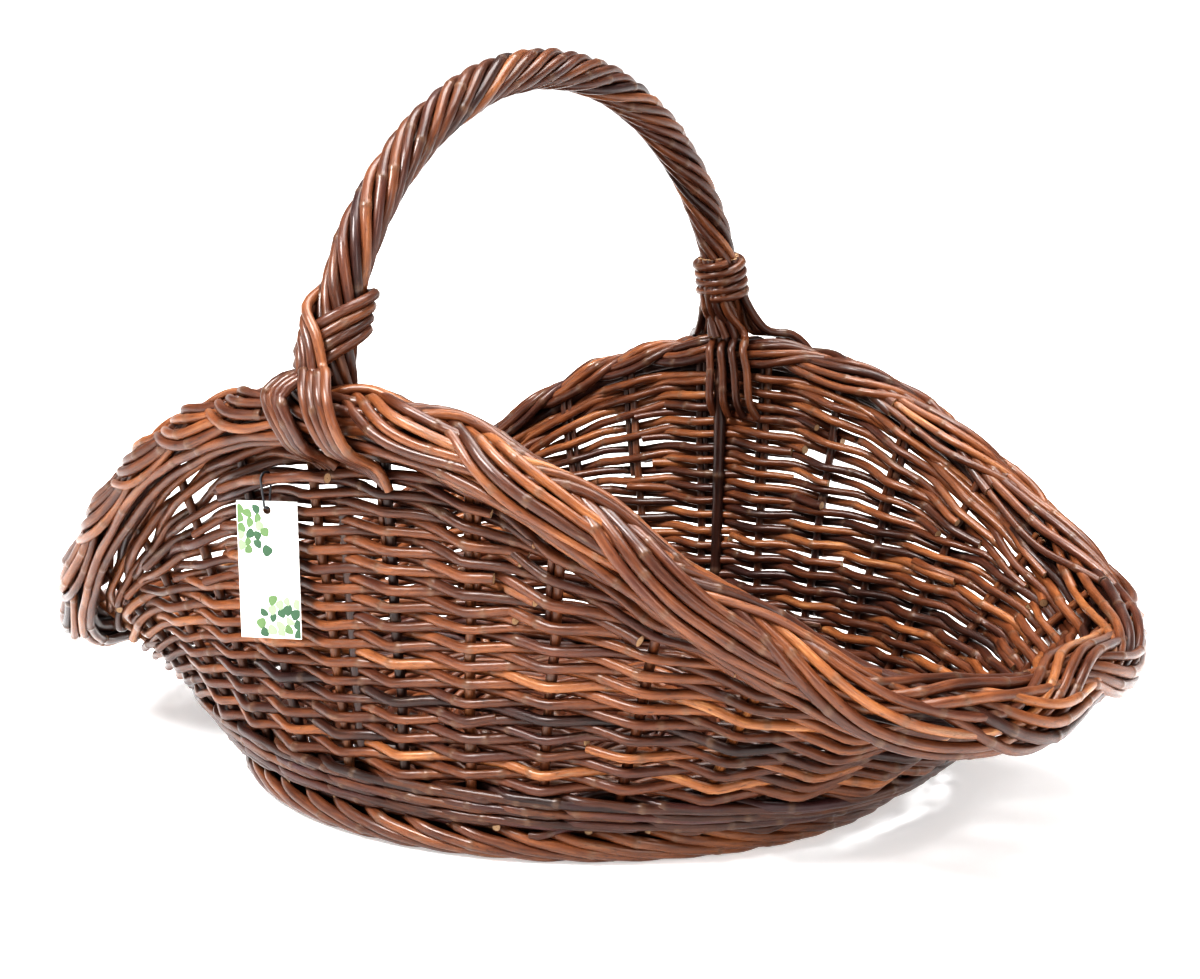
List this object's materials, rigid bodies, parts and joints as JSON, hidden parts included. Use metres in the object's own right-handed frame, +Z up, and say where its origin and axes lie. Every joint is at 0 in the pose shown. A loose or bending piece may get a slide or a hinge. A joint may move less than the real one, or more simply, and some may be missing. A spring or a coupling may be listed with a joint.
{
  "type": "firewood basket",
  "caption": "Boat-shaped woven willow firewood basket with low ends, high sides, an arched twisted handle and a swing tag.",
  "frame": {"origin": "on the floor, below the middle of the rim's outline", "axes": "+X along the basket towards its higher end, +Y across it, along the span of the handle, +Z up"},
  "size_m": [0.698, 0.4717, 0.4335],
  "materials": {
    "stake_willow": "satin varnish over dark stained willow rods",
    "weave_willow": "satin varnish over dark chestnut willow rods",
    "border_willow": "satin varnish over dark chestnut willow rods",
    "handle_willow": "satin varnish over dark chestnut willow rods",
    "tie": "thin dark elastic cord",
    "tag_card": "coated white card with a printed leaf pattern"
  },
  "bodies": {
    "basket": {"base_stick_long_1": "stake_willow", "base_stick_long_2": "stake_willow", "base_stick_long_3": "stake_willow", "base_stick_long_4": "stake_willow", "base_stick_cross_1": "stake_willow", "base_stick_cross_2": "stake_willow", "base_stick_cross_3": "stake_willow", "base_stick_cross_4": "stake_willow", "side_stake_01": "stake_willow", "side_stake_02": "stake_willow", "side_stake_03": "stake_willow", "side_stake_04": "stake_willow", "side_stake_05": "stake_willow", "side_stake_06": "stake_willow", "side_stake_07": "stake_willow", "side_stake_08": "stake_willow", "side_stake_09": "stake_willow", "side_stake_10": "stake_willow", "side_stake_11": "stake_willow", "side_stake_12": "stake_willow", "side_stake_13": "stake_willow", "side_stake_14": "stake_willow", "side_stake_15": "stake_willow", "side_stake_16": "stake_willow", "side_stake_17": "stake_willow", "side_stake_18": "stake_willow", "side_stake_19": "stake_willow", "side_stake_20": "stake_willow", "side_stake_21": "stake_willow", "side_stake_22": "stake_willow", "side_stake_23": "stake_willow", "side_stake_24": "stake_willow", "side_stake_25": "stake_willow", "side_stake_26": "stake_willow", "side_stake_27": "stake_willow", "side_stake_28": "stake_willow", "side_stake_29": "stake_willow", "side_stake_30": "stake_willow", "side_stake_31": "stake_willow", "side_stake_32": "stake_willow", "base_weave": "weave_willow", "lower_wale": "weave_willow", "side_weave": "weave_willow", "fill_near": "weave_willow", "fill_far": "weave_willow", "tag_rod": "weave_willow", "foot_border": "border_willow", "rim_border": "border_willow", "handle_bow": "handle_willow", "handle_rope": "handle_willow", "handle_binding_near": "handle_willow", "handle_binding_far": "handle_willow", "handle_leg_near_left": "handle_willow", "handle_leg_near_right": "handle_willow", "handle_leg_far_left": "handle_willow", "handle_leg_far_right": "handle_willow"},
    "tie": {"tag_loop": "tie"},
    "tag": {"swing_tag": "tag_card"}
  },
  "joints": [
    {"name": "tie_swing", "type": "hinge", "parent": "basket", "child": "tie", "pos_m": [-0.04458, -0.21274, 0.20135], "axis": [-0.9872, 0.0415, -0.1543], "range_deg": [0, 90]},
    {"name": "tag_swing", "type": "hinge", "parent": "tie", "child": "tag", "pos_m": [-0.04458, -0.21274, 0.18425], "axis": [0.3746, -0.9272, 0], "range_deg": [-25, 8]}
  ]
}
